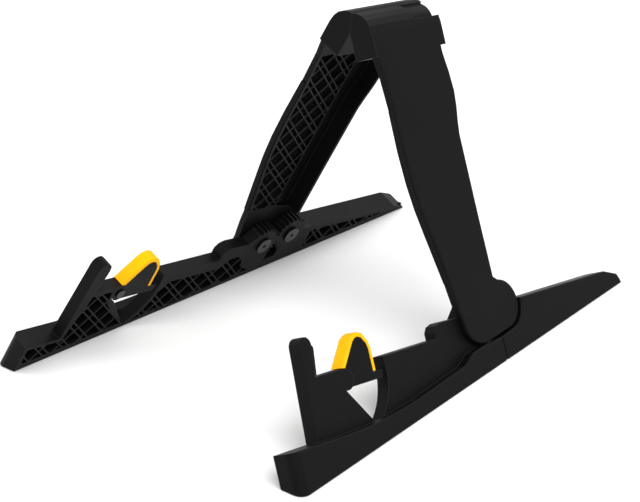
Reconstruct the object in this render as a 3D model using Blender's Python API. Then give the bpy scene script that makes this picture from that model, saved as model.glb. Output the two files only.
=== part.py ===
"""Folding A-frame guitar stand: two moulded legs, four folding feet, two swing levers."""
import math

import bmesh
import bpy
from mathutils import Matrix, Vector

# Stance of the opened stand
HINGE_HEIGHT = 0.2180
LEG_SPREAD = math.radians(25.4)
AXIS_TILT = math.radians(-9.6)
PAD_DROP = 0.0006

# Layers across one side, measured outward from the hinge plane
INNER_X = 0.0040
WEB_T = 0.0103
SKIN_T = 0.0022
LAYER_GAP = 0.0004
SKIRT_X = 0.0220
LEG_T = 0.0056
WALL_T = 0.0024
WEB_X = INNER_X + WEB_T
LEG_IN_X = WEB_X + LAYER_GAP
LEG_OUT_X = LEG_IN_X + LEG_T

# Pivots of the feet, as (along the hinge axis, up the leg)
FRONT_PIVOT = (-0.0220, -0.2206)
REAR_PIVOT = (0.0070, -0.2156)
PIVOT_PIN_R = 0.0030
PIVOT_HEAD_R = 0.0068
PIVOT_HEAD_T = 0.0013
PIN_CLEAR = 0.0003
GEAR_TEETH = 24
TOOTH_ADD = 0.0009
TOOTH_DED = 0.0014
GEAR_STEP = 0.0002
WEB_STEP = 0.0001
BULB_R = 0.0188
BULB_GAP = 0.0008

# Hinge head at the top of the legs
BARREL_R = 0.0138
BARREL_GAP = 0.0005
HEAD_FRONT_Y = -0.0695
HEAD_SPLIT_Y = -0.0450
BARREL_SPLIT_Y = -0.0190
HEAD_REAR_Y = 0.0100
HEAD_BASE_Z = -0.0205
HINGE_PIN_R = 0.0025

# Lattice of ribs inside the shells
RIB_PITCH = 0.0145
RIB_T = 0.0011
RIB_PAIR = 0.0042
DEEP_STEP = 0.0004
RIB_ANGLE_A = math.radians(50.0)
RIB_ANGLE_B = math.radians(-40.0)

# Front foot
REST_Z = -0.2261
CREASE_Z = -0.2696
NOSE_Y = -0.2500
POST_FRONT_Y = -0.2160
POST_T = 0.0125
POST_TOP_Z = -0.1976
POST_LEAN = 0.0050
NOSE_ROUND = 0.0080
SPLIT_Y = -0.0040
SPLIT_TOP_Z = -0.2380
SPLIT_GAP = 0.0006

# Rear foot
REAR_TOP_Z = -0.2141
REAR_TIP_Y = 0.1525
REAR_BEVEL = 0.0180

# Swing lever
LEVER_PIVOT = (-0.1720, -0.2346)
LEVER_REACH = 0.0425
SLOT_GAP = 0.0007
LEVER_SWING = math.radians(50.5)
LEVER_UNDER = 0.0058
LEVER_BOSS_R = 0.0068
LEVER_PIN_R = 0.0018
COVER_GAP = 0.0003

# Soft parts
STRIP_T = 0.0015
STRIP_GAP = 0.0003
PAD_LENGTH = 0.0380
PAD_T = 0.0036
PAD_INSET = 0.0030
PAD_GAP = 0.0003

COLOURS = {
    "moulded": ((0.028, 0.029, 0.030), 0.55, 0.0),
    "steel": ((0.50, 0.51, 0.52), 0.32, 1.0),
    "rubber": ((0.040, 0.040, 0.041), 0.80, 0.0),
    "yellow": ((0.95, 0.60, 0.010), 0.60, 0.0),
}


def clear_scene():
    for obj in list(bpy.data.objects):
        bpy.data.objects.remove(obj, do_unlink=True)


def material(name, kind):
    colour, rough, metal = COLOURS[kind]
    mat = bpy.data.materials.new(name)
    mat.use_nodes = True
    shader = mat.node_tree.nodes["Principled BSDF"]
    shader.inputs["Base Color"].default_value = (*colour, 1.0)
    shader.inputs["Roughness"].default_value = rough
    shader.inputs["Metallic"].default_value = metal
    mat.diffuse_color = (*colour, 1.0)
    return mat


def area(points):
    total = 0.0
    for (y0, z0), (y1, z1) in zip(points, points[1:] + points[:1]):
        total += y0 * z1 - y1 * z0
    return 0.5 * total


def arc(centre, radius, start, end, steps):
    """Points on a circle, angles in degrees from +y towards +z."""
    out = []
    for i in range(steps + 1):
        t = math.radians(start + (end - start) * i / steps)
        out.append((centre[0] + radius * math.cos(t), centre[1] + radius * math.sin(t)))
    return out


def inset(points, dist):
    """Loop moved inward by dist, one point for each point."""
    pts = points if area(points) > 0 else points[::-1]
    out = []
    count = len(pts)
    for i in range(count):
        a = Vector(pts[i - 1])
        b = Vector(pts[i])
        c = Vector(pts[(i + 1) % count])
        d0 = (b - a).normalized()
        d1 = (c - b).normalized()
        n0 = Vector((-d0.y, d0.x))
        n1 = Vector((-d1.y, d1.x))
        mid = n0 + n1
        scale = 2.0 / max(mid.length_squared, 1.0)
        move = mid * (dist * scale)
        out.append((b.x + move.x, b.y + move.y))
    return out if area(points) > 0 else out[::-1]


def half_clip(points, origin, normal):
    """Part of a loop on the side of a line that its normal points to."""
    out = []
    count = len(points)
    for i in range(count):
        p = Vector(points[i])
        q = Vector(points[(i + 1) % count])
        dp = (p - origin).dot(normal)
        dq = (q - origin).dot(normal)
        if dp >= 0:
            out.append((p.x, p.y))
        if dp * dq < 0:
            cut = p + (q - p) * (dp / (dp - dq))
            out.append((cut.x, cut.y))
    return out


def clean(points, tol=0.00025):
    out = []
    for p in points:
        if not out or math.dist(p, out[-1]) > tol:
            out.append(p)
    if len(out) > 1 and math.dist(out[0], out[-1]) <= tol:
        out.pop()
    return out


def solid(loops, name="piece"):
    """Closed solid through equal loops of 3-D points."""
    bm = bmesh.new()
    rings = [[bm.verts.new(p) for p in loop] for loop in loops]
    count = len(rings[0])
    for low, high in zip(rings, rings[1:]):
        for i in range(count):
            j = (i + 1) % count
            bm.faces.new((low[i], low[j], high[j], high[i]))
    bm.faces.new(rings[0][::-1])
    bm.faces.new(rings[-1])
    bmesh.ops.recalc_face_normals(bm, faces=bm.faces)
    mesh = bpy.data.meshes.new(name)
    bm.to_mesh(mesh)
    bm.free()
    obj = bpy.data.objects.new(name, mesh)
    bpy.context.scene.collection.objects.link(obj)
    return obj


def prism(side, points, x0, x1, rounding=0.0, steps=3):
    """Outline in the leg's plane, thick from x0 to x1, outer rim rounded."""
    loops = [[(side * x0, y, z) for y, z in points]]
    if rounding > 0:
        for i in range(steps + 1):
            t = 0.5 * math.pi * i / steps
            ring = inset(points, rounding * (1.0 - math.cos(t)))
            x = x1 - rounding + rounding * math.sin(t)
            loops.append([(side * x, y, z) for y, z in ring])
    else:
        loops.append([(side * x1, y, z) for y, z in points])
    return solid(loops)


def bar(side, profile, y0, y1):
    """Profile of (outward, up) points, drawn along the hinge axis."""
    return solid([[(side * x, y, z) for x, z in profile] for y in (y0, y1)])


def disc(side, centre, radius, x0, x1, steps=40):
    return prism(side, arc(centre, radius, 0.0, 360.0 - 360.0 / steps, steps - 1), x0, x1)


def rod(radius, y0, y1, steps=40):
    ring = arc((0.0, 0.0), radius, 0.0, 360.0 - 360.0 / steps, steps - 1)
    return solid([[(x, y, z) for x, z in ring] for y in (y0, y1)])


def floor_z(y, x, lift=0.0):
    """Height in the leg's plane of the floor under a point of one side."""
    level = lift - HINGE_HEIGHT - y * math.sin(AXIS_TILT)
    return level / (math.cos(AXIS_TILT) * math.cos(LEG_SPREAD)) - x * math.tan(LEG_SPREAD)


def floor_block(side, ys, xs, lifts):
    loops = []
    for lift in lifts:
        corners = [(xs[0], ys[0]), (xs[1], ys[0]), (xs[1], ys[1]), (xs[0], ys[1])]
        loops.append([(side * x, y, floor_z(y, x, lift)) for x, y in corners])
    return solid(loops)


def join(objects):
    """One object that holds all the bodies given."""
    bm = bmesh.new()
    for obj in objects:
        bm.from_mesh(obj.data)
        bpy.data.objects.remove(obj, do_unlink=True)
    mesh = bpy.data.meshes.new("cells")
    bm.to_mesh(mesh)
    bm.free()
    out = bpy.data.objects.new("cells", mesh)
    bpy.context.scene.collection.objects.link(out)
    return out


def boolean(target, tool, operation):
    tool.hide_render = True
    tool.display_type = "WIRE"
    mod = target.modifiers.new("cut", "BOOLEAN")
    mod.operation = operation
    mod.solver = "EXACT"
    mod.object = tool
    graph = bpy.context.evaluated_depsgraph_get()
    mesh = bpy.data.meshes.new_from_object(target.evaluated_get(graph))
    target.modifiers.clear()
    target.data = mesh
    bpy.data.objects.remove(tool, do_unlink=True)
    return target


def add(target, tool):
    return boolean(target, tool, "UNION")


def cut(target, tool):
    return boolean(target, tool, "DIFFERENCE")


def rib_lines(angle, paired, low, high, rib=RIB_T):
    """Edges of the strips of air between one family of ribs."""
    edges = []
    at = low
    while at < high:
        if paired:
            edges.append((at + 0.5 * rib, at + RIB_PAIR - 0.5 * rib))
            edges.append((at + RIB_PAIR + 0.5 * rib, at + RIB_PITCH - 0.5 * rib))
        else:
            edges.append((at + 0.5 * rib, at + RIB_PITCH - 0.5 * rib))
        at += RIB_PITCH
    normal = Vector((-math.sin(angle), math.cos(angle)))
    return normal, edges


def lattice(side, region, x0, x1, rib=RIB_T):
    """Diamond cells of air that fill a region, with ribs left between them."""
    reach = 0.45
    least = 0.000006
    families = []
    for angle, paired in ((RIB_ANGLE_A, False), (RIB_ANGLE_B, True)):
        families.append(rib_lines(angle, paired, -RIB_PITCH * round(reach / RIB_PITCH), reach, rib))
    cells = []
    na, strips_a = families[0]
    nb, strips_b = families[1]
    for a0, a1 in strips_a:
        strip = half_clip(region, na * a0, na)
        strip = half_clip(strip, na * a1, -na) if len(strip) > 2 else strip
        if len(strip) < 3:
            continue
        for b0, b1 in strips_b:
            cell = half_clip(strip, nb * b0, nb)
            cell = half_clip(cell, nb * b1, -nb) if len(cell) > 2 else cell
            cell = clean(cell)
            if len(cell) > 2 and abs(area(cell)) > least:
                cells.append(prism(side, cell, x0, x1))
    return join(cells)


def gear(side, centre, other, phase):
    """Toothed hub that meshes with an equal hub round the other pivot."""
    pitch_r = 0.5 * math.dist(centre, other)
    aim = math.atan2(other[1] - centre[1], other[0] - centre[0])
    step = 2.0 * math.pi / GEAR_TEETH
    ring = []
    for i in range(GEAR_TEETH):
        mid = aim + (i + phase) * step
        for offset, radius in ((-0.29, -TOOTH_DED), (-0.13, TOOTH_ADD), (0.13, TOOTH_ADD), (0.29, -TOOTH_DED)):
            t = mid + offset * step
            r = pitch_r + radius
            ring.append((centre[0] + r * math.cos(t), centre[1] + r * math.sin(t)))
    return prism(side, ring, INNER_X + GEAR_STEP, WEB_X - GEAR_STEP)


def leg_front(first, last):
    """Front edge of the leg from the head down to the bulb."""
    top = HEAD_FRONT_Y
    waist = FRONT_PIVOT[0] - BULB_R
    knots = [
        (top, -0.016), (top + 0.0035, -0.034), (top + 0.0052, -0.060), (top + 0.0055, -0.090),
        (top + 0.0068, -0.114), (top + 0.0095, -0.133), (top + 0.0138, -0.152),
        (top + 0.0186, -0.172), (top + 0.0222, -0.190), (waist - 0.0040, -0.2045), (waist, FRONT_PIVOT[1]),
    ]
    return [p for p in knots if first >= p[1] >= last]


def leg_rear():
    """Rear edge of the leg from the bulb up to the head, with its hump."""
    back = REAR_PIVOT[0] - 0.0032
    return [
        (back, -0.1940), (back - 0.0006, -0.150), (back - 0.0006, -0.0870), (back + 0.0010, -0.0770),
        (back + 0.0032, -0.0670), (back + 0.0046, -0.0550), (back + 0.0036, -0.0410),
        (back + 0.0014, -0.0270), (back + 0.0010, -0.0160),
    ]


def leg_outline():
    under = arc(FRONT_PIVOT, BULB_R, 180.0, 280.0, 14)
    behind = arc(REAR_PIVOT, BULB_R - 0.0003, 280.0, 445.0, 22)
    return clean(leg_front(0.0, FRONT_PIVOT[1] + 0.001) + under + behind + leg_rear())


def head_profile():
    """Section of the leg's head, (outward, up), its mitred face on the stop plane."""
    lean = math.tan(LEG_SPREAD)
    top = BARREL_R
    gap = 0.5 * BARREL_GAP
    return [
        (gap, HEAD_BASE_Z), (LEG_OUT_X, HEAD_BASE_Z), (LEG_OUT_X, -0.0040), (LEG_OUT_X - 0.0007, 0.0020),
        (LEG_OUT_X - 0.0027, 0.0070), (LEG_OUT_X - 0.0062, 0.0108), (LEG_OUT_X - 0.0105, top - 0.0004),
        (top * lean + gap, top), (gap, 0.0),
    ]


def build_leg(side, name):
    outline = leg_outline()
    body = prism(side, outline, LEG_IN_X, LEG_OUT_X, rounding=0.0018)
    rear = leg_rear()
    inner = [(y - WALL_T, z) for y, z in rear][::-1]
    body = add(body, prism(side, rear + inner, INNER_X + LAYER_GAP, LEG_OUT_X - 0.0018))
    body = add(body, bar(side, head_profile(), HEAD_FRONT_Y, HEAD_REAR_Y))
    own, other = ((HEAD_SPLIT_Y, BARREL_SPLIT_Y), (BARREL_SPLIT_Y, HEAD_REAR_Y))
    if side < 0:
        own, other = other, own
    gap = 0.5 * BARREL_GAP
    clear = BARREL_R + BARREL_GAP
    far = HEAD_REAR_Y + 0.002
    body = cut(body, rod(clear, other[0] - gap, other[1] + gap if other[1] < HEAD_REAR_Y else far, 48))
    if other[1] >= HEAD_REAR_Y:
        roof = [(0.0, 0.0015), (0.03, 0.0015), (0.03, 0.03), (0.0, 0.03)]
        body = cut(body, bar(side, roof, other[0] - gap, far))
    body = add(body, rod(BARREL_R, own[0] + gap, own[1] - gap, 48))
    bore = (HEAD_SPLIT_Y - 0.001, BARREL_SPLIT_Y + 0.024)
    body = cut(body, rod(HINGE_PIN_R + PIN_CLEAR, bore[0], bore[1], 32))
    front = [(y + WALL_T, z) for y, z in leg_front(-0.030, -0.1995)]
    channel = REAR_PIVOT[0] - 0.0250
    ribbed = front + [(channel, -0.1900), (channel, -0.0300)]
    body = cut(body, lattice(side, ribbed, INNER_X, LEG_OUT_X - SKIN_T))
    back = [(y - WALL_T, z) for y, z in rear if z > -0.196 and z < -0.024]
    trough = [(channel + RIB_T, -0.0300), (channel + RIB_T, -0.1900)] + back
    body = cut(body, prism(side, trough, INNER_X, LEG_OUT_X - SKIN_T))
    for centre in (FRONT_PIVOT, REAR_PIVOT):
        body = cut(body, disc(side, centre, PIVOT_PIN_R + PIN_CLEAR, INNER_X, LEG_OUT_X - 0.0015, 32))
    return finish(body, name, "moulded", (0.0, 0.0))


def skirt_top():
    """Crease where the web meets the skirt; it follows the folded leg's edge."""
    nose = (NOSE_Y, CREASE_Z)
    steps = [(-0.195, 0.0), (-0.165, 0.0006), (-0.134, 0.0042), (-0.110, 0.0078), (-0.084, 0.0132), (-0.053, 0.0196)]
    return [nose] + [(y, CREASE_Z + rise) for y, rise in steps]


def post_outline():
    top_front = POST_FRONT_Y + POST_LEAN
    top = arc((top_front + 0.5 * POST_T, POST_TOP_Z - 0.5 * POST_T), 0.5 * POST_T, 180.0, 0.0, 8)
    return [(POST_FRONT_Y, CREASE_Z - 0.004)] + top + [(POST_FRONT_Y + POST_T + 0.002, REST_Z)]


def slot_outline(reach):
    """Room that the lever sweeps, from upright down to its lowest place."""
    py, pz = LEVER_PIVOT
    end = -LEVER_SWING
    off = LEVER_UNDER + SLOT_GAP
    boss = LEVER_BOSS_R + 2.0 * PIN_CLEAR
    rim_top = math.degrees(math.asin((REST_Z - pz) / reach))
    rim_low = math.degrees(end - math.asin(off / reach))
    rim = arc(LEVER_PIVOT, reach, rim_top, rim_low, 12)
    low_angle = math.degrees(end) - math.degrees(math.asin(min(off / boss, 0.99)))
    round_boss = arc(LEVER_PIVOT, boss, low_angle, 104.0, 12)
    return [(py - 0.0022, REST_Z + 0.02), (py + reach, REST_Z + 0.02)] + rim + round_boss


def build_front_foot(side, name):
    crease = skirt_top()
    fy, fz = FRONT_PIVOT
    hub_r = BULB_R + BULB_GAP
    turn = arc(FRONT_PIVOT, hub_r, 262.0, 278.0, 3)
    turn.append((SPLIT_Y - 0.5 * SPLIT_GAP, SPLIT_TOP_Z))
    split_low = (SPLIT_Y - 0.5 * SPLIT_GAP, floor_z(SPLIT_Y, SKIRT_X) - 0.004)
    low = [split_low, (NOSE_Y - 0.006, floor_z(NOSE_Y, SKIRT_X) - 0.004)]
    skirt = clean([(NOSE_Y - 0.006, floor_z(NOSE_Y, INNER_X))] + crease + [(fy - 0.019, fz - 0.0225)] + turn + low)
    body = prism(side, skirt, INNER_X, SKIRT_X, rounding=0.0014)
    web = post_outline() + [
        (-0.0685, REST_Z), (-0.0685, REST_Z + 0.0050), (-0.0655, REST_Z + 0.0090), (-0.0600, REST_Z + 0.0106),
        (fy - 0.0180, REST_Z + 0.0100), (fy - 0.0100, fz + 0.0115), (fy, fz + 0.0120), (fy + 0.0110, fz),
        (fy + 0.0110, fz - 0.0170), (fy - 0.004, fz - 0.0240), (-0.084, CREASE_Z + 0.008), (-0.134, CREASE_Z - 0.002),
    ]
    body = add(body, prism(side, clean(web), INNER_X, WEB_X, rounding=0.0010))
    body = add(body, gear(side, FRONT_PIVOT, REAR_PIVOT, 0.0))
    nose_cut = [
        (NOSE_Y - 0.03, SKIRT_X + 0.01), (NOSE_Y - 0.03, INNER_X - 0.01), (NOSE_Y, INNER_X - 0.01),
        (NOSE_Y, SKIRT_X - NOSE_ROUND),
    ]
    nose_cut += arc((NOSE_Y + NOSE_ROUND, SKIRT_X - NOSE_ROUND), NOSE_ROUND, 170.0, 90.0, 8)
    nose_cut += [(NOSE_Y + NOSE_ROUND, SKIRT_X + 0.01)]
    body = cut(body, solid([[(side * x, y, z) for y, x in nose_cut] for z in (-0.36, -0.20)]))
    body = cut(body, floor_block(side, (NOSE_Y - 0.05, 0.05), (-0.02, 0.05), (-0.08, PAD_DROP)))
    floor_in = [(y, floor_z(y, INNER_X, 0.0050)) for y in (NOSE_Y + 0.003, -0.1500, -0.1200, -0.0250)]
    edge = 0.0024
    ahead = [
        floor_in[0], floor_in[1], (LEVER_PIVOT[0] + 0.0015, LEVER_PIVOT[1] - 0.0195),
        (LEVER_PIVOT[0] - 0.0090, LEVER_PIVOT[1] - 0.0080), (LEVER_PIVOT[0] - 0.0100, REST_Z - 0.0040),
        (POST_FRONT_Y + POST_T + 0.0010, REST_Z - 0.0040), (POST_FRONT_Y + edge, CREASE_Z - edge),
        (NOSE_Y + 0.003, CREASE_Z - edge),
    ]
    rim = arc(LEVER_PIVOT, LEVER_REACH + SLOT_GAP + 0.0032, -14.0, -52.0, 8)
    behind = [(-0.1180, REST_Z - 0.0095)] + rim + [floor_in[2], floor_in[3], (fy - 0.0150, fz - 0.0190)]
    behind += [(fy - 0.0190, fz - 0.0060), (fy - 0.0330, REST_Z - 0.0020), (-0.0640, REST_Z - 0.0095)]
    for region in (ahead, behind):
        body = cut(body, lattice(side, region, INNER_X - 0.002, WEB_X - SKIN_T))
    top = [(y, z - edge) for y, z in crease]
    deep_nose = [floor_in[0], (-0.1600, floor_z(-0.160, INNER_X, 0.005)), (-0.1600, top[2][1]), (-0.195, top[1][1]),
                 (NOSE_Y + 0.003, top[0][1])]
    deep_back = [(-0.1200, floor_in[2][1]), floor_in[3], (-0.0480, top[6][1]), top[6], top[5], top[4],
                 (-0.1200, top[4][1] - 0.0015)]
    for region in (deep_nose, deep_back):
        loop = inset(clean(region), 0.0002)
        body = cut(body, lattice(side, loop, INNER_X - 0.0026, SKIRT_X - SKIN_T, RIB_T + DEEP_STEP))
    body = cut(body, prism(side, slot_outline(LEVER_REACH + SLOT_GAP), INNER_X - 0.002, WEB_X + 0.0002))
    boss = LEVER_BOSS_R + 2.0 * PIN_CLEAR
    body = cut(body, disc(side, LEVER_PIVOT, boss + 0.0001, INNER_X - 0.002, WEB_X - SKIN_T))
    body = cut(body, disc(side, LEVER_PIVOT, LEVER_PIN_R + PIN_CLEAR, INNER_X, WEB_X - 0.0008, 24))
    body = cut(body, disc(side, FRONT_PIVOT, PIVOT_PIN_R + PIN_CLEAR, INNER_X - 0.002, WEB_X + 0.002, 32))
    body = cut(body, pad_block(side, front_pad(), PAD_GAP))
    return finish(body, name, "moulded", FRONT_PIVOT)


def build_rear_foot(side, name):
    ry, rz = REAR_PIVOT
    hub_r = BULB_R + BULB_GAP
    turn = arc(REAR_PIVOT, hub_r, 280.0, 366.0, 12)
    tail = [
        (ry + hub_r, REAR_TOP_Z), (REAR_TIP_Y - REAR_BEVEL, REAR_TOP_Z), (REAR_TIP_Y - 0.0030, REAR_TOP_Z - 0.0046),
        (REAR_TIP_Y, REAR_TOP_Z - 0.0095), (REAR_TIP_Y + 0.002, floor_z(REAR_TIP_Y, SKIRT_X) - 0.004),
        (SPLIT_Y + 0.5 * SPLIT_GAP, floor_z(SPLIT_Y, SKIRT_X) - 0.004),
    ]
    start = (SPLIT_Y + 0.5 * SPLIT_GAP, SPLIT_TOP_Z)
    thick = clean([start] + [p for p in turn if p[1] < REAR_TOP_Z - 0.001] + tail)
    body = prism(side, thick, INNER_X, SKIRT_X, rounding=0.0014)
    web = [(ry + 0.0240, REAR_TOP_Z), (ry, rz + 0.0060), (ry - 0.0060, rz), (ry - 0.0060, rz - 0.0215), (ry + 0.0240, rz - 0.0200)]
    body = add(body, prism(side, web, INNER_X + WEB_STEP, WEB_X - WEB_STEP))
    body = add(body, gear(side, REAR_PIVOT, FRONT_PIVOT, 0.5))
    body = cut(body, floor_block(side, (-0.05, REAR_TIP_Y + 0.05), (-0.02, 0.05), (-0.08, PAD_DROP)))
    edge = 0.0034
    start_y = ry + 0.0255
    region = [
        (start_y, floor_z(start_y, INNER_X, 0.005)), (0.1290, floor_z(0.1290, INNER_X, 0.005)),
        (0.1290, REAR_TOP_Z - edge), (start_y, REAR_TOP_Z - edge),
    ]
    body = cut(body, lattice(side, region, INNER_X - 0.002, SKIRT_X - SKIN_T))
    body = cut(body, disc(side, REAR_PIVOT, PIVOT_PIN_R + PIN_CLEAR, INNER_X - 0.002, WEB_X + 0.002, 32))
    body = cut(body, pad_block(side, rear_pad(), PAD_GAP))
    return finish(body, name, "moulded", REAR_PIVOT)


def front_pad():
    return NOSE_Y + 0.0060, NOSE_Y + 0.0060 + PAD_LENGTH


def rear_pad():
    return REAR_TIP_Y - 0.0040 - PAD_LENGTH, REAR_TIP_Y - 0.0040


def pad_block(side, span, gap):
    xs = (INNER_X + PAD_INSET - gap, SKIRT_X - PAD_INSET + gap)
    ys = (span[0] - gap, span[1] + gap)
    lifts = (-0.002, PAD_T + gap) if gap > 0 else (0.0, PAD_T)
    return floor_block(side, ys, xs, lifts)


def lever_loops():
    """Outer rim of the soft cover and rim of the core, as seen from the side."""
    py, pz = LEVER_PIVOT
    outer = [
        (-0.0025, 0.0089), (0.0122, 0.0266), (0.0158, 0.0290), (0.0208, 0.0300), (0.0258, 0.0283),
        (0.0306, 0.0220), (0.0320, 0.0168), (0.0320, 0.0004),
    ]
    inner = [
        (0.0296, 0.0004), (0.0296, 0.0166), (0.0284, 0.0208), (0.0244, 0.0256), (0.0206, 0.0268),
        (0.0174, 0.0260), (0.0148, 0.0242), (0.0015, 0.0081),
    ]
    shift = [[(py + a, pz + b) for a, b in loop] for loop in (outer, inner)]
    return shift


def build_lever(side, name):
    outer, inner = lever_loops()
    py, pz = LEVER_PIVOT
    x0 = INNER_X + COVER_GAP
    x1 = WEB_X - COVER_GAP
    base = [
        (py + 0.0296, pz - 0.0003), (py + 0.0388, pz - 0.0003), (py + 0.0378, pz - LEVER_UNDER),
        (py, pz - LEVER_UNDER), (py - 0.0010, pz + 0.0050),
    ]
    core_top = [p for p in inset(outer + inner, -COVER_GAP)[len(outer):]]
    body = prism(side, clean(core_top[::-1] + base), x0, x1)
    body = cut(body, disc(side, LEVER_PIVOT, LEVER_BOSS_R + 3.0 * PIN_CLEAR, WEB_X - SKIN_T - 0.0003, WEB_X + 0.002))
    body = add(body, disc(side, LEVER_PIVOT, LEVER_BOSS_R, x0 + 0.0001, WEB_X - SKIN_T - 0.0004))
    body = cut(body, disc(side, LEVER_PIVOT, LEVER_PIN_R + PIN_CLEAR, x0 - 0.002, WEB_X, 24))
    return finish(body, name, "moulded", LEVER_PIVOT)


def build_cover(side, name):
    outer, inner = lever_loops()
    body = prism(side, outer + inner, INNER_X + COVER_GAP, WEB_X - COVER_GAP)
    return finish(body, name, "yellow", LEVER_PIVOT)


def build_lever_pin(side, name):
    body = disc(side, LEVER_PIVOT, LEVER_PIN_R, INNER_X - 0.0010, WEB_X - 0.0011, 24)
    body = add(body, disc(side, LEVER_PIVOT, LEVER_PIN_R + 0.0020, INNER_X - 0.0010, INNER_X, 24))
    return finish(body, name, "steel", LEVER_PIVOT)


def build_pivot_pin(side, name, centre):
    x0 = INNER_X - LAYER_GAP
    body = disc(side, centre, PIVOT_PIN_R, x0 - 0.0005, LEG_OUT_X - 0.0018, 32)
    body = add(body, disc(side, centre, PIVOT_HEAD_R, x0 - PIVOT_HEAD_T, x0, 32))
    body = cut(body, disc(side, centre, 0.0017, x0 - PIVOT_HEAD_T - 0.001, x0 + 0.0008, 6))
    return finish(body, name, "steel", centre)


def build_leg_strip(side, name):
    """Soft strip on the front edge of the leg, where the guitar's back leans."""
    edge = leg_front(-0.055, -0.198)
    near = [(y - STRIP_GAP, z) for y, z in edge]
    away = [(y - STRIP_GAP - STRIP_T, z) for y, z in edge][::-1]
    away[0] = (away[0][0] + 0.5 * STRIP_T, away[0][1])
    away[-1] = (away[-1][0] + 0.5 * STRIP_T, away[-1][1])
    body = prism(side, near + away, LEG_IN_X + 0.0006, LEG_OUT_X - 0.0010)
    return finish(body, name, "rubber", (0.0, 0.0))


def build_post_strip(side, name):
    """Soft strip on the guitar side of the post."""
    base = POST_FRONT_Y + POST_T + 0.002
    top_y = POST_FRONT_Y + POST_LEAN + POST_T
    z0 = REST_Z + 0.0010
    z1 = POST_TOP_Z - 0.5 * POST_T - 0.0010
    f0 = base + (top_y - base) * (z0 - REST_Z) / (z1 + 0.001 - REST_Z) + STRIP_GAP
    f1 = top_y + STRIP_GAP
    loop = [(f0, z0), (f1, z1), (f1 + 0.6 * STRIP_T, z1), (f1 + STRIP_T, z1 - 0.002), (f0 + STRIP_T, z0)]
    body = prism(side, loop, INNER_X + 0.0010, WEB_X - 0.0010)
    return finish(body, name, "rubber", FRONT_PIVOT)


def build_floor_pad(side, name, span, centre):
    return finish(pad_block(side, span, 0.0), name, "rubber", centre)


def finish(obj, name, kind, origin):
    """Name the piece, put its origin on its joint and tidy its mesh."""
    mesh = obj.data
    bm = bmesh.new()
    bm.from_mesh(mesh)
    bmesh.ops.remove_doubles(bm, verts=bm.verts, dist=0.00001)
    bmesh.ops.dissolve_degenerate(bm, edges=bm.edges, dist=0.00001)
    bmesh.ops.recalc_face_normals(bm, faces=bm.faces)
    bmesh.ops.translate(bm, verts=bm.verts, vec=(0.0, -origin[0], -origin[1]))
    bm.to_mesh(mesh)
    bm.free()
    mesh.name = name
    obj.name = name
    obj.location = (0.0, origin[0], origin[1])
    mesh.materials.clear()
    mesh.materials.append(material(name + "_finish", kind))
    for poly in mesh.polygons:
        poly.use_smooth = True
    mesh.set_sharp_from_angle(angle=math.radians(28.0))
    return obj


def empty(name, parent=None, location=(0.0, 0.0, 0.0), rotation=(0.0, 0.0, 0.0)):
    obj = bpy.data.objects.new(name, None)
    bpy.context.scene.collection.objects.link(obj)
    obj.parent = parent
    obj.location = location
    obj.rotation_euler = rotation
    return obj


def mirrored(piece, name):
    """Left-hand copy of a right-hand piece."""
    obj = piece.copy()
    obj.data = piece.data.copy()
    bpy.context.scene.collection.objects.link(obj)
    obj.data.transform(Matrix.Scale(-1.0, 4, (1.0, 0.0, 0.0)))
    obj.data.flip_normals()
    mat = piece.data.materials[0].copy()
    mat.name = name + "_finish"
    obj.data.materials.clear()
    obj.data.materials.append(mat)
    obj.data.name = name
    obj.name = name
    return obj


def build_right():
    """The pieces that have a mirror twin, by plain name."""
    return {
        "leg_rest_strip": build_leg_strip(1, "right_leg_rest_strip"),
        "front_foot_shell": build_front_foot(1, "right_front_foot_shell"),
        "post_rest_strip": build_post_strip(1, "right_post_rest_strip"),
        "rear_foot_shell": build_rear_foot(1, "right_rear_foot_shell"),
        "front_pivot_pin": build_pivot_pin(1, "right_front_pivot_pin", FRONT_PIVOT),
        "rear_pivot_pin": build_pivot_pin(1, "right_rear_pivot_pin", REAR_PIVOT),
        "lever_core": build_lever(1, "right_lever_core"),
        "lever_cover": build_cover(1, "right_lever_cover"),
        "lever_pin": build_lever_pin(1, "right_lever_pin"),
        "front_floor_pad": build_floor_pad(1, "right_front_floor_pad", front_pad(), FRONT_PIVOT),
        "rear_floor_pad": build_floor_pad(1, "right_rear_floor_pad", rear_pad(), REAR_PIVOT),
    }


def centre_on_floor(root, pieces):
    """Put the stand's footprint on the middle of the world."""
    bpy.context.view_layer.update()
    ys = []
    for piece in pieces:
        ys += [(piece.matrix_world @ v.co).y for v in piece.data.vertices]
    root.location.y -= 0.5 * (min(ys) + max(ys))


def main():
    clear_scene()
    root = empty("stand", location=(0.0, 0.0, HINGE_HEIGHT), rotation=(AXIS_TILT, 0.0, 0.0))
    right = build_right()
    left = {name: mirrored(piece, "left_" + name) for name, piece in right.items()}
    pieces = []
    for side, word, twins in ((1, "right", right), (-1, "left", left)):
        panel = empty(word + "_side", root, rotation=(0.0, -side * LEG_SPREAD, 0.0))
        members = [build_leg(side, word + "_leg_shell")] + list(twins.values())
        for piece in members:
            piece.parent = panel
        pieces += members
    pin = rod(HINGE_PIN_R, HEAD_SPLIT_Y + 0.0004, BARREL_SPLIT_Y + 0.0235, 32)
    pin = finish(pin, "hinge_pin", "steel", (0.0, 0.0))
    pin.parent = root
    pieces.append(pin)
    centre_on_floor(root, pieces)


if __name__ == "__main__":
    main()
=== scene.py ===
"""Looks of the folding guitar stand: finishes of its pieces, stage, light and camera."""
import math

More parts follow.
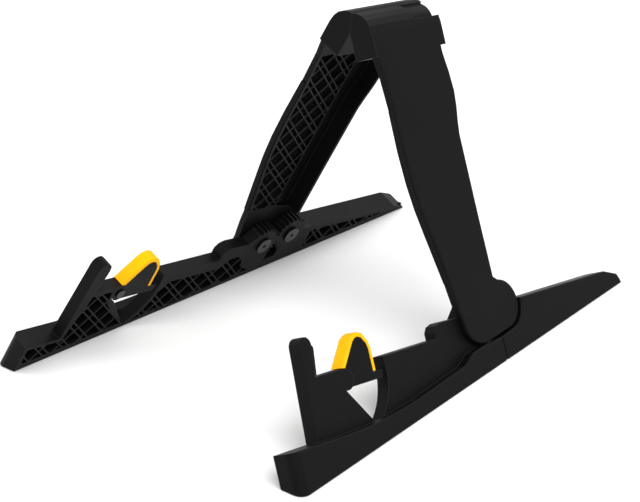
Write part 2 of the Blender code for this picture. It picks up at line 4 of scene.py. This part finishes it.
import bpy
from bpy.props import FloatProperty, FloatVectorProperty, PointerProperty
from bpy.types import Operator, Panel, PropertyGroup
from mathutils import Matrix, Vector

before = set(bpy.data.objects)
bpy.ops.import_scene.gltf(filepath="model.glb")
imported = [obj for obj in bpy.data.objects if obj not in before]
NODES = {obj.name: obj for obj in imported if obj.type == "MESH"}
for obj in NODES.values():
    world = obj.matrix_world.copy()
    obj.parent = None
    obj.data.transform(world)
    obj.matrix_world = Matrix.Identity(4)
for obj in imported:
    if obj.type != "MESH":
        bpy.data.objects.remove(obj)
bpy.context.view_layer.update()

bl_info = {
    "name": "Folding guitar stand looks",
    "version": (1, 0, 0),
    "blender": (4, 5, 0),
    "location": "View3D > Sidebar > Stand",
    "description": "Finishes, stage, light and camera for a folding guitar stand",
    "category": "Object",
}

# Camera at the angle of the photograph
CAMERA_PLACE = (1.2774, -1.4882, 1.0045)
CAMERA_AZIMUTH = math.radians(40.93)
CAMERA_RISE = math.radians(25.62)
SENSOR_WIDTH = 36.0
CLIP_END = 100.0

# Floor and soft lights
FLOOR_HALF = 12.0
FLOOR_ROUGHNESS = 0.9
LIGHT_AIM = (0.0, 0.0, 0.10)
KEY_SIZE = (2.4, 2.4)
KEY_PLACE = (1.9, -0.7, 2.6)
FILL_SIZE = (2.4, 2.0)
FILL_PLACE = (-2.2, -1.9, 1.6)
BACK_SIZE = (2.6, 1.6)
BACK_PLACE = (0.4, 2.4, 2.2)

# Moulded grain and handling marks
FINE_DETAIL = 3.0
MARK_SCALE = 22.0
MARK_DETAIL = 5.0
MARK_LOW = 0.35
MARK_HIGH = 0.70
MARK_LIFT = 1.18
GLOSS_DROP = 0.05
GLOSS_RISE = 0.06
RELIEF_DEPTH = 0.0003
SHINE = 0.07

# Rims, where a highlight is painted: cosine of the turn between the true and the rounded normal
RIM_SAMPLES = 6
HIGHLIGHT_START = 0.995
HIGHLIGHT_FULL = 0.80

# Strength of the grain's relief, and how much lighter the rims are painted, a painted highlight along the
# edges
SHELL_BUMP, SHELL_HIGHLIGHT_LIFT = 0.12, 9.0
COVER_BUMP, COVER_HIGHLIGHT_LIFT = 0.10, 1.06
STRIP_BUMP, STRIP_HIGHLIGHT_LIFT = 0.16, 2.0
PIN_BUMP, PIN_HIGHLIGHT_LIFT = 0.05, 1.2


def colour_prop(name, description, default):
    return FloatVectorProperty(
        name=name, description=description, default=default,
        subtype="COLOR", size=3, min=0.0, max=1.0,
    )


def roughness_prop(description, default):
    return FloatProperty(
        name="Roughness", description=description, default=default,
        subtype="FACTOR", min=0.0, max=1.0,
    )


def width_prop(name, description, default):
    return FloatProperty(
        name=name, description=description, default=default,
        subtype="DISTANCE", unit="LENGTH", min=0.0001, max=0.01,
    )


def power_prop(name, description, default):
    return FloatProperty(
        name=name, description=description, default=default,
        unit="POWER", min=0.0, max=500.0,
    )


class StandMouldedProps(PropertyGroup):
    """Look of the moulded plastic shells."""
    colour: colour_prop("Plastic colour", "Body colour of the moulded shells", (0.0035, 0.0035, 0.0038))
    roughness: roughness_prop("Gloss of the plastic, high is matt", 0.46)
    grain_size: width_prop("Grain size", "Width of one fleck of the moulded grain", 0.0007)
    edge_width: width_prop("Edge rounding", "Width of the softened moulded edges", 0.0007)


class StandCoverProps(PropertyGroup):
    """Look of the soft lever covers."""
    colour: colour_prop("Cover colour", "Colour of the soft lever covers", (0.90, 0.42, 0.002))
    roughness: roughness_prop("Gloss of the lever covers, high is matt", 0.58)
    grain_size: width_prop("Grain size", "Width of one fleck of the covers' grain", 0.0009)
    edge_width: width_prop("Edge rounding", "Width of the softened edges of the covers", 0.0008)


class StandStripProps(PropertyGroup):
    """Look of the rest strips and floor pads."""
    colour: colour_prop("Strip colour", "Colour of the rest strips and floor pads", (0.006, 0.006, 0.006))
    roughness: roughness_prop("Gloss of the strips and pads, high is matt", 0.72)
    grain_size: width_prop("Grain size", "Width of one fleck of the strips' grain", 0.0008)
    edge_width: width_prop("Edge rounding", "Width of the softened edges of the strips", 0.0004)


class StandPinProps(PropertyGroup):
    """Look of the pins."""
    colour: colour_prop("Steel colour", "Colour of the dark steel pins", (0.045, 0.045, 0.047))
    roughness: roughness_prop("Gloss of the steel pins, high is matt", 0.34)
    grain_size: width_prop("Grain size", "Width of one fleck of the steel's grain", 0.0012)
    edge_width: width_prop("Edge rounding", "Width of the softened edges of the pins", 0.0003)


class StandStageProps(PropertyGroup):
    """Floor, light and camera."""
    focal: FloatProperty(
        name="Focal length", description="Focal length of the camera",
        default=166.2, min=20.0, max=400.0, unit="CAMERA",
    )
    key_power: power_prop("Key light", "Power of the large soft light on the right", 70.0)
    fill_power: power_prop("Fill lights", "Power of each soft light on the left and behind", 22.0)
    sky_strength: FloatProperty(
        name="Sky strength", description="Brightness of the white surroundings",
        default=0.85, min=0.0, max=5.0,
    )
    floor_colour: colour_prop("Floor colour", "Colour of the plain floor", (0.90, 0.90, 0.90))


def add_socket(group, name, way, kind, value=None):
    item = group.interface.new_socket(name=name, in_out=way, socket_type=kind)
    if value is not None:
        item.default_value = value


def grain_group():
    """Node group: fine moulded grain as a mask, and broad faint handling marks."""
    group = bpy.data.node_groups.get("moulded_grain")
    if group:
        return group
    group = bpy.data.node_groups.new("moulded_grain", "ShaderNodeTree")
    add_socket(group, "Scale", "INPUT", "NodeSocketFloat", 1400.0)
    add_socket(group, "Grain", "OUTPUT", "NodeSocketFloat")
    add_socket(group, "Marks", "OUTPUT", "NodeSocketFloat")
    nodes, links = group.nodes, group.links
    given = nodes.new("NodeGroupInput")
    result = nodes.new("NodeGroupOutput")
    coords = nodes.new("ShaderNodeTexCoord")
    fine = nodes.new("ShaderNodeTexNoise")
    fine.inputs["Detail"].default_value = FINE_DETAIL
    broad = nodes.new("ShaderNodeTexNoise")
    broad.inputs["Scale"].default_value = MARK_SCALE
    broad.inputs["Detail"].default_value = MARK_DETAIL
    spread = nodes.new("ShaderNodeMapRange")
    spread.inputs["From Min"].default_value = MARK_LOW
    spread.inputs["From Max"].default_value = MARK_HIGH
    links.new(coords.outputs["Object"], fine.inputs["Vector"])
    links.new(coords.outputs["Object"], broad.inputs["Vector"])
    links.new(given.outputs["Scale"], fine.inputs["Scale"])
    links.new(broad.outputs["Fac"], spread.inputs["Value"])
    links.new(fine.outputs["Fac"], result.inputs["Grain"])
    links.new(spread.outputs["Result"], result.inputs["Marks"])
    return group


def rim_highlight_and_rounding_group():
    """Node group: mask that is one on the rims of a piece, where a highlight is painted, and a normal
    that rounds them.
    """
    group = bpy.data.node_groups.get("rim_highlight_mask")
    if group:
        return group
    group = bpy.data.node_groups.new("rim_highlight_mask", "ShaderNodeTree")
    add_socket(group, "Radius", "INPUT", "NodeSocketFloat", 0.0008)
    add_socket(group, "Rim Highlight", "OUTPUT", "NodeSocketFloat")
    add_socket(group, "Normal", "OUTPUT", "NodeSocketVector")
    nodes, links = group.nodes, group.links
    given = nodes.new("NodeGroupInput")
    result = nodes.new("NodeGroupOutput")
    bevel = nodes.new("ShaderNodeBevel")
    bevel.samples = RIM_SAMPLES
    plain = nodes.new("ShaderNodeNewGeometry")
    dot = nodes.new("ShaderNodeVectorMath")
    dot.operation = "DOT_PRODUCT"
    # Mask of the painted highlight: one where the rounded normal turns away from the true normal.
    rim_highlight_ramp = nodes.new("ShaderNodeMapRange")
    rim_highlight_ramp.inputs["From Min"].default_value = HIGHLIGHT_START
    rim_highlight_ramp.inputs["From Max"].default_value = HIGHLIGHT_FULL
    links.new(given.outputs["Radius"], bevel.inputs["Radius"])
    links.new(bevel.outputs["Normal"], dot.inputs[0])
    links.new(plain.outputs["Normal"], dot.inputs[1])
    links.new(dot.outputs["Value"], rim_highlight_ramp.inputs["Value"])
    links.new(rim_highlight_ramp.outputs["Result"], result.inputs["Rim Highlight"])
    links.new(bevel.outputs["Normal"], result.inputs["Normal"])
    return group


def group_node(nodes, group):
    node = nodes.new("ShaderNodeGroup")
    node.node_tree = group
    return node


def lighter(colour, factor):
    return (*[min(part * factor, 1.0) for part in colour], 1.0)


def finish_material(name, look, bump, highlight_lift, metal):
    """Principled finish with moulded grain, faint marks and a painted highlight that makes the rims
    lighter.
    """
    mat = bpy.data.materials.new(name)
    mat.use_nodes = True
    nodes, links = mat.node_tree.nodes, mat.node_tree.links
    shader = nodes["Principled BSDF"]
    shader.inputs["Metallic"].default_value = metal
    shader.inputs["Specular IOR Level"].default_value = SHINE
    grained = group_node(nodes, grain_group())
    grained.inputs["Scale"].default_value = 1.0 / look.grain_size
    rim_highlight_and_rounding = group_node(nodes, rim_highlight_and_rounding_group())
    rim_highlight_and_rounding.inputs["Radius"].default_value = look.edge_width
    tone = nodes.new("ShaderNodeMix")
    tone.data_type = "RGBA"
    tone.inputs["A"].default_value = (*look.colour, 1.0)
    tone.inputs["B"].default_value = lighter(look.colour, MARK_LIFT)
    # Painted highlight: the rims are mixed to a lighter colour, as if lit along the edges.
    rim_highlight_mix = nodes.new("ShaderNodeMix")
    rim_highlight_mix.data_type = "RGBA"
    rim_highlight_mix.inputs["B"].default_value = lighter(look.colour, highlight_lift)
    gloss = nodes.new("ShaderNodeMapRange")
    gloss.inputs["To Min"].default_value = look.roughness - GLOSS_DROP
    gloss.inputs["To Max"].default_value = look.roughness + GLOSS_RISE
    relief = nodes.new("ShaderNodeBump")
    relief.inputs["Strength"].default_value = bump
    relief.inputs["Distance"].default_value = RELIEF_DEPTH
    links.new(grained.outputs["Marks"], tone.inputs["Factor"])
    links.new(tone.outputs["Result"], rim_highlight_mix.inputs["A"])
    links.new(rim_highlight_and_rounding.outputs["Rim Highlight"], rim_highlight_mix.inputs["Factor"])
    links.new(rim_highlight_mix.outputs["Result"], shader.inputs["Base Color"])
    links.new(grained.outputs["Marks"], gloss.inputs["Value"])
    links.new(gloss.outputs["Result"], shader.inputs["Roughness"])
    links.new(grained.outputs["Grain"], relief.inputs["Height"])
    links.new(rim_highlight_and_rounding.outputs["Normal"], relief.inputs["Normal"])
    links.new(relief.outputs["Normal"], shader.inputs["Normal"])
    return mat


def dress(endings, look, bump, highlight_lift, metal=0.0):
    """Gives each CAD node whose name has one of the endings its own finish."""
    names = [name for name in sorted(NODES) if name.endswith(endings)]
    if not names:
        raise RuntimeError("no piece ends with " + " or ".join(endings))
    for name in names:
        slots = NODES[name].material_slots
        if not slots:
            raise RuntimeError(name + " has no material slot")
        mat = finish_material(name + "_look", look, bump, highlight_lift, metal)
        for slot in slots:
            slot.material = mat


class STAND_OT_shells(Operator):
    """Gives the legs, feet and lever cores their grained black plastic."""
    bl_idname = "stand.shells"
    bl_label = "Moulded shells"

    def execute(self, context):
        dress(("_shell", "_core"), context.scene.stand_moulded, SHELL_BUMP, SHELL_HIGHLIGHT_LIFT)
        return {"FINISHED"}


class STAND_OT_covers(Operator):
    """Gives the lever covers their soft yellow rubber."""
    bl_idname = "stand.covers"
    bl_label = "Lever covers"

    def execute(self, context):
        dress(("_cover",), context.scene.stand_cover, COVER_BUMP, COVER_HIGHLIGHT_LIFT)
        return {"FINISHED"}


class STAND_OT_strips(Operator):
    """Gives the rest strips and floor pads their matt rubber."""
    bl_idname = "stand.strips"
    bl_label = "Strips and pads"

    def execute(self, context):
        dress(("_strip", "_pad"), context.scene.stand_strip, STRIP_BUMP, STRIP_HIGHLIGHT_LIFT)
        return {"FINISHED"}


class STAND_OT_pins(Operator):
    """Gives the pins their dark steel."""
    bl_idname = "stand.pins"
    bl_label = "Steel pins"

    def execute(self, context):
        dress(("_pin",), context.scene.stand_pin, PIN_BUMP, PIN_HIGHLIGHT_LIFT, metal=1.0)
        return {"FINISHED"}


def pale_floor(scene, colour):
    """Plain floor at height zero."""
    half = FLOOR_HALF
    mesh = bpy.data.meshes.new("floor")
    mesh.from_pydata(
        [(-half, -half, 0.0), (half, -half, 0.0), (half, half, 0.0), (-half, half, 0.0)],
        [], [(0, 1, 2, 3)],
    )
    floor = bpy.data.objects.new("floor", mesh)
    scene.collection.objects.link(floor)
    pale = bpy.data.materials.new("pale_floor")
    pale.use_nodes = True
    shader = pale.node_tree.nodes["Principled BSDF"]
    shader.inputs["Base Color"].default_value = (*colour, 1.0)
    shader.inputs["Roughness"].default_value = FLOOR_ROUGHNESS
    mesh.materials.append(pale)
    return floor


def area_light(scene, name, power, size, place):
    """Rectangular soft light that looks at the stand."""
    data = bpy.data.lights.new(name, "AREA")
    data.energy = power
    data.shape = "RECTANGLE"
    data.size, data.size_y = size
    light = bpy.data.objects.new(name, data)
    scene.collection.objects.link(light)
    light.location = place
    light.rotation_mode = "QUATERNION"
    light.rotation_quaternion = (Vector(LIGHT_AIM) - Vector(place)).to_track_quat("-Z", "Y")
    return light


def white_sky(scene, strength):
    """Even white surroundings."""
    world = bpy.data.worlds.new("studio")
    world.use_nodes = True
    sky = world.node_tree.nodes["Background"]
    sky.inputs["Color"].default_value = (1.0, 1.0, 1.0, 1.0)
    sky.inputs["Strength"].default_value = strength
    scene.world = world


def photo_camera(scene, focal):
    """Camera at the photograph's place and angle."""
    data = bpy.data.cameras.new("camera")
    data.lens = focal
    data.sensor_width = SENSOR_WIDTH
    data.clip_end = CLIP_END
    camera = bpy.data.objects.new("camera", data)
    scene.collection.objects.link(camera)
    camera.location = CAMERA_PLACE
    away = Vector((
        math.sin(CAMERA_AZIMUTH) * math.cos(CAMERA_RISE),
        -math.cos(CAMERA_AZIMUTH) * math.cos(CAMERA_RISE),
        math.sin(CAMERA_RISE),
    ))
    camera.rotation_mode = "QUATERNION"
    camera.rotation_quaternion = away.to_track_quat("Z", "Y")
    scene.camera = camera


class STAND_OT_stage(Operator):
    """Lays the pale floor, sets the soft light and places the camera."""
    bl_idname = "stand.stage"
    bl_label = "Stage"

    def execute(self, context):
        scene = context.scene
        props = scene.stand_stage
        floor = pale_floor(scene, props.floor_colour)
        key = area_light(scene, "key_light", props.key_power, KEY_SIZE, KEY_PLACE)
        fill = area_light(scene, "fill_light", props.fill_power, FILL_SIZE, FILL_PLACE)
        back = area_light(scene, "back_light", props.fill_power, BACK_SIZE, BACK_PLACE)
        white_sky(scene, props.sky_strength)
        scene.view_settings.view_transform = "Standard"
        photo_camera(scene, props.focal)
        return {"FINISHED"}


GROUPS = {
    "stand_moulded": StandMouldedProps,
    "stand_cover": StandCoverProps,
    "stand_strip": StandStripProps,
    "stand_pin": StandPinProps,
    "stand_stage": StandStageProps,
}
OPERATORS = (STAND_OT_shells, STAND_OT_covers, STAND_OT_strips, STAND_OT_pins, STAND_OT_stage)


class STAND_PT_looks(Panel):
    """Lists the sizes, colours and steps that dress the stand."""
    bl_idname = "STAND_PT_looks"
    bl_label = "Guitar stand"
    bl_space_type = "VIEW_3D"
    bl_region_type = "UI"
    bl_category = "Stand"

    def draw(self, context):
        layout = self.layout
        for name, kind in GROUPS.items():
            box = layout.box()
            props = getattr(context.scene, name)
            for key in kind.__annotations__:
                box.prop(props, key)
        for kind in OPERATORS:
            layout.operator(kind.bl_idname)


CLASSES = (*GROUPS.values(), *OPERATORS, STAND_PT_looks)


def register():
    for kind in CLASSES:
        bpy.utils.register_class(kind)
    for name, kind in GROUPS.items():
        setattr(bpy.types.Scene, name, PointerProperty(type=kind))


def unregister():
    for name in GROUPS:
        delattr(bpy.types.Scene, name)
    for kind in reversed(CLASSES):
        bpy.utils.unregister_class(kind)


def main():
    register()
    bpy.ops.stand.shells()
    bpy.ops.stand.covers()
    bpy.ops.stand.strips()
    bpy.ops.stand.pins()
    bpy.ops.stand.stage()


if __name__ == "__main__":
    main()
